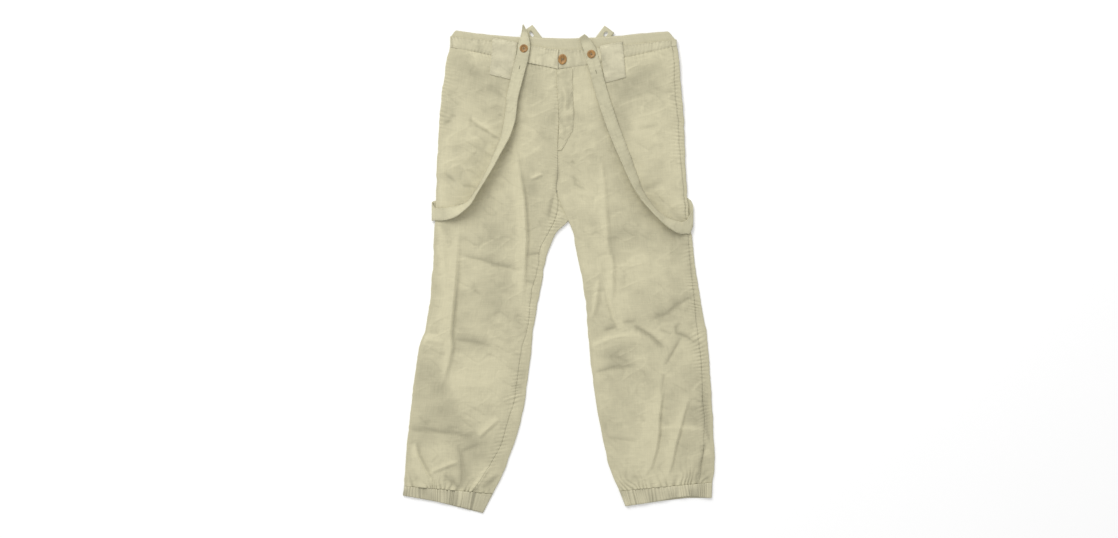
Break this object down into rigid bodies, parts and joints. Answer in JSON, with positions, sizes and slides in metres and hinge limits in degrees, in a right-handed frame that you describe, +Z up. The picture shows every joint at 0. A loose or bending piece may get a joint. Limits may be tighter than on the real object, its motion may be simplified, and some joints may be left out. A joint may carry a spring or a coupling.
{
  "type": "historic linen trousers with braces, laid flat",
  "caption": "Loose linen trousers with a button fly, gathered ankle cuffs and crossed braces buttoned to the waistband, laid flat with the front up.",
  "frame": {"origin": "centre of the bounding box's bottom face, on the surface that the garment lies on", "axes": "+Z up out of the front of the garment, +Y from the ankle cuffs to the waist, +X to the wearer's left"},
  "size_m": [0.6384, 1.0017, 0.0341],
  "materials": {
    "leg_linen": "matt slubby plain weave",
    "waistband_linen": "matt plain weave, topstitched",
    "patch_linen": "matt plain weave, topstitched",
    "cuff_linen": "matt gathered plain weave",
    "brace_linen": "matt folded plain weave, edge-stitched",
    "horn": "satin brown horn"
  },
  "bodies": {
    "root": {"front_right": "leg_linen", "front_left": "leg_linen", "back_right": "leg_linen", "back_left": "leg_linen", "waistband_front_right": "waistband_linen", "waistband_front_left": "waistband_linen", "waistband_back": "waistband_linen", "fly_placket": "leg_linen", "brace_patch_right": "patch_linen", "brace_patch_left": "patch_linen", "cuff_right": "cuff_linen", "cuff_left": "cuff_linen", "brace_right": "brace_linen", "brace_left": "brace_linen", "fly_button": "horn", "brace_button_right": "horn", "brace_button_left": "horn", "back_button_right": "horn", "back_button_left": "horn"}
  },
  "joints": []
}
